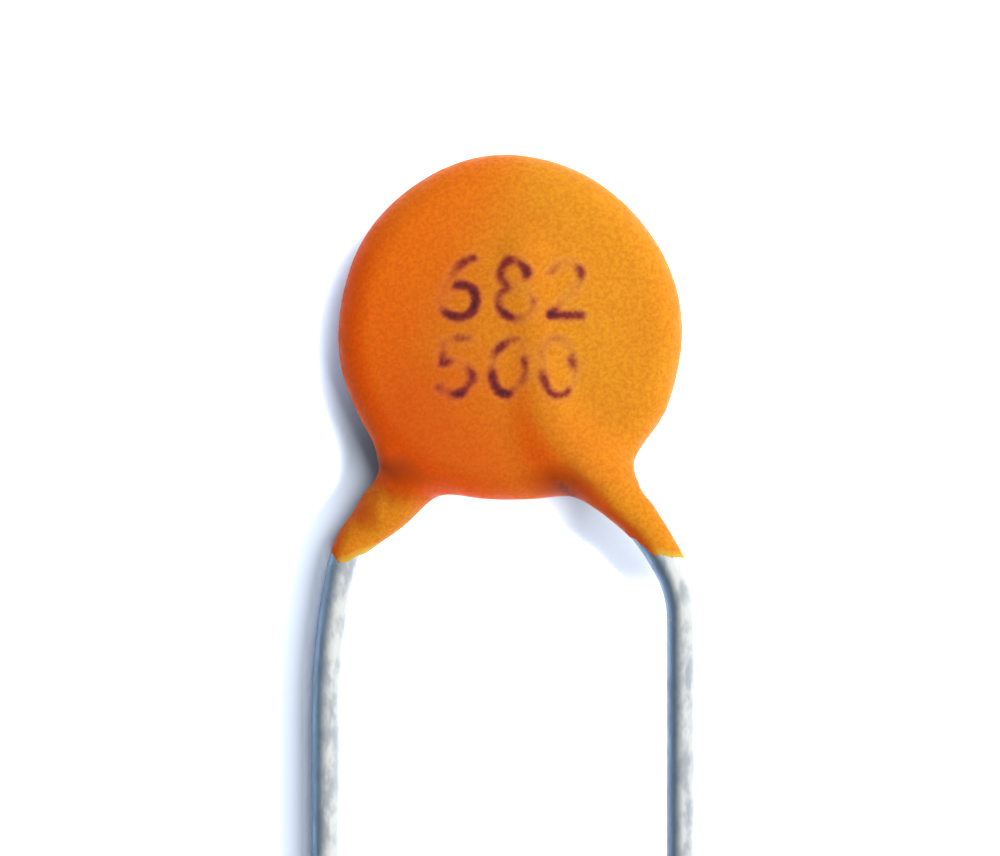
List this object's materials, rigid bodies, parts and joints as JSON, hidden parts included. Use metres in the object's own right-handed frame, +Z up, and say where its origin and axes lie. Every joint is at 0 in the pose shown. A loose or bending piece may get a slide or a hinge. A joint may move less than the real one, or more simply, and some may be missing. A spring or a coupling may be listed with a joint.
{
  "type": "ceramic disc capacitor",
  "caption": "Round resin-dipped ceramic disc capacitor with bare tinned wire leads, for soldering into a circuit board.",
  "frame": {"origin": "centre of the bounding box's bottom face, on the surface that the part lies on", "axes": "+Z up, out of the disc's printed face; -Y along the leads to their tips; +X across the leads, to the right when the printed face is looked at with the leads pointing down"},
  "size_m": [0.007, 0.0242, 0.0024],
  "materials": {
    "resin": "dipped orange phenolic resin, satin",
    "ceramic": "fired, unglazed",
    "silver": "fired silver, matt",
    "solder": "set solder, bright",
    "tinned_wire": "tinned, satin"
  },
  "bodies": {
    "root": {"coating": "resin", "ceramic_disc": "ceramic", "front_electrode": "silver", "back_electrode": "silver", "front_solder": "solder", "back_solder": "solder", "front_lead": "tinned_wire", "back_lead": "tinned_wire"}
  },
  "joints": []
}
